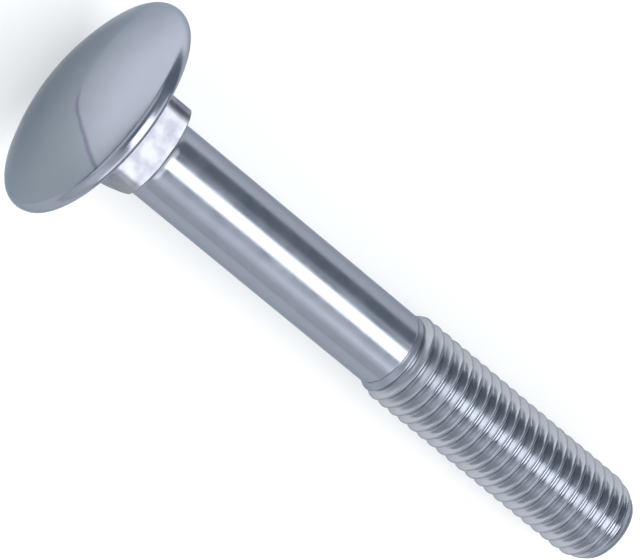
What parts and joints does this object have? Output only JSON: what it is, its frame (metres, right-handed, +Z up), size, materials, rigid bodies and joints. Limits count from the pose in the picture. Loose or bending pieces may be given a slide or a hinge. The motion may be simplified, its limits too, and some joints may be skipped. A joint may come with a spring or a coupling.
{
  "type": "carriage bolt",
  "caption": "Carriage bolt with a round domed head, a square neck that stops it turning, a plain shank and a coarse metric thread at its end.",
  "frame": {"origin": "on the ground under the middle of the lying bolt's box", "axes": "+X along the lying bolt from its head to its tip, +Z up; the bolt's own axis slopes down to the tip by about 6.0 degrees, because it rests on the rim of its head and on its thread"},
  "size_m": [0.0956, 0.0302, 0.03],
  "materials": {
    "zinc_plated_steel": "bright zinc plate on cold forged steel: smooth and semi-gloss, with a cool blue-grey cast"
  },
  "bodies": {
    "root": {"bolt": "zinc_plated_steel"}
  },
  "joints": []
}
